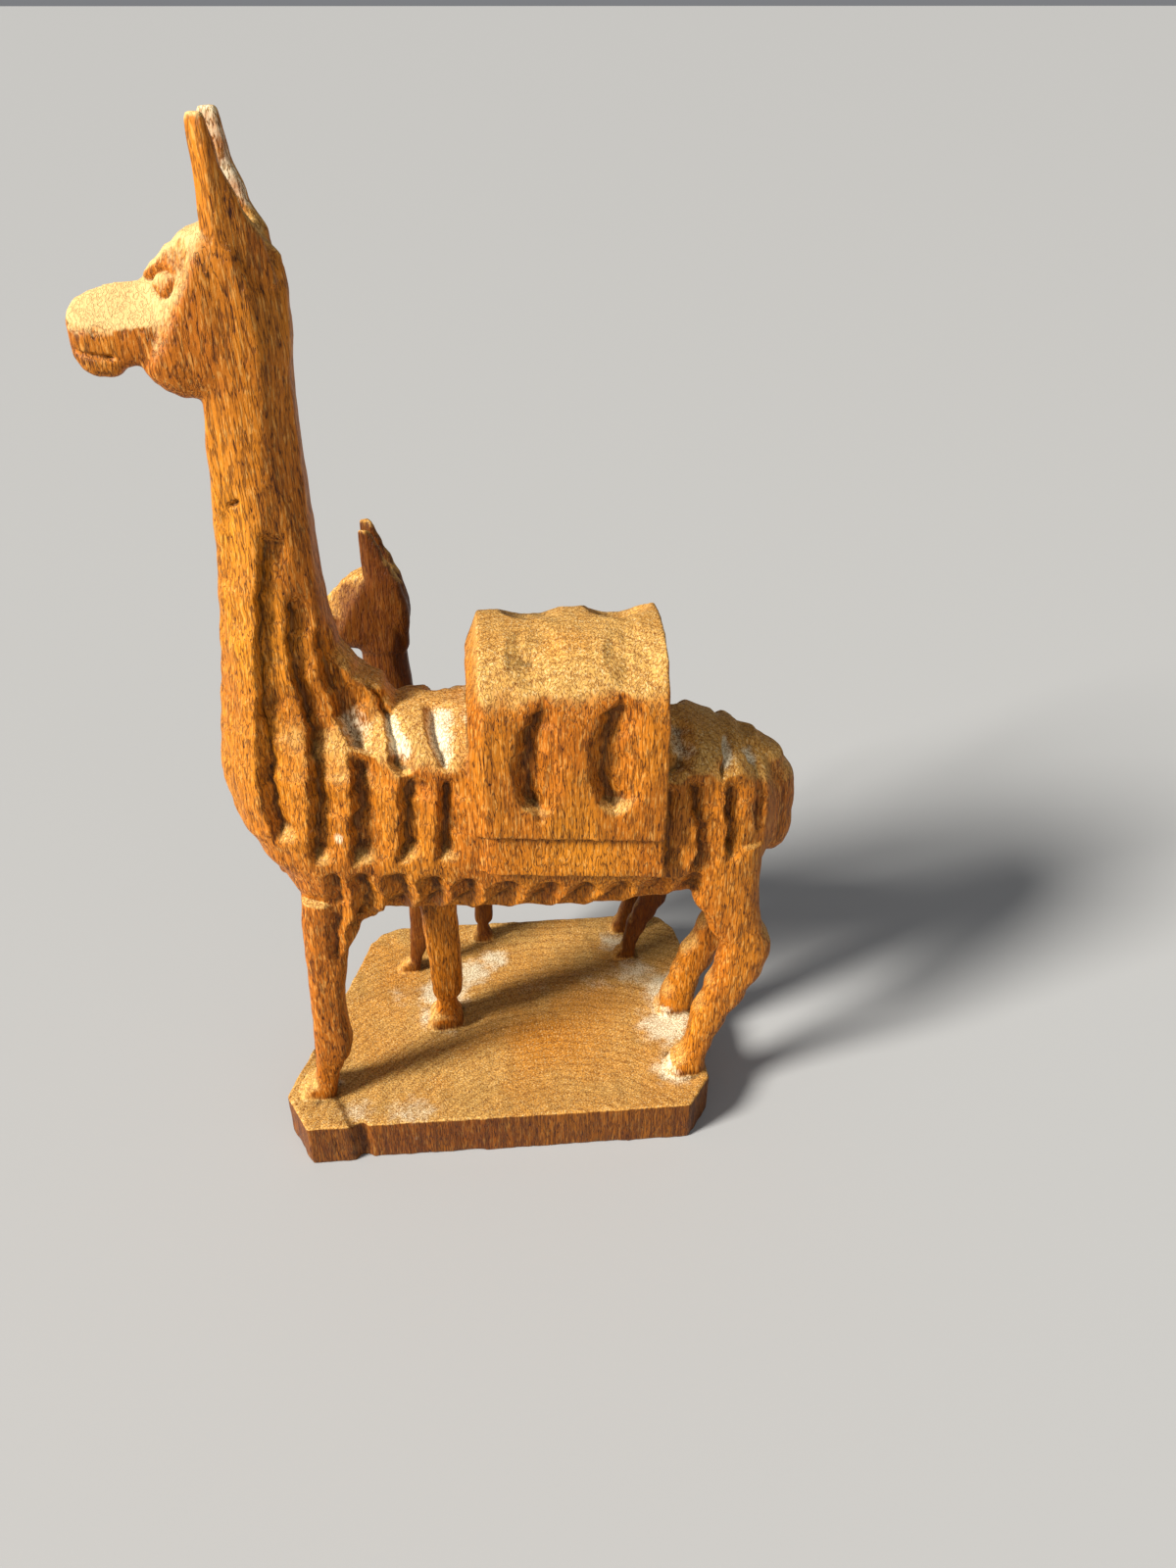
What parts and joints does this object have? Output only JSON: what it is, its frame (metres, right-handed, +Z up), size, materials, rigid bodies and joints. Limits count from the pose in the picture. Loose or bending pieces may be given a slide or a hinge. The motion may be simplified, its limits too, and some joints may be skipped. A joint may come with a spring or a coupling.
{
  "type": "carved llama figurine",
  "caption": "Carved wooden llama with a pack on its back and a young llama beside it, standing on one low base.",
  "frame": {"origin": "centre of the underside of the base, under the middle of the overall length and depth", "axes": "+Z up, both animals face -X, the adult stands on the -Y side and the young one on the +Y side"},
  "size_m": [0.126, 0.068, 0.208],
  "materials": {
    "carved_wood": "thin amber-brown stain, satin, worn pale on end grain and in the cuts"
  },
  "bodies": {
    "root": {"llama_group_carving": "carved_wood"}
  },
  "joints": []
}
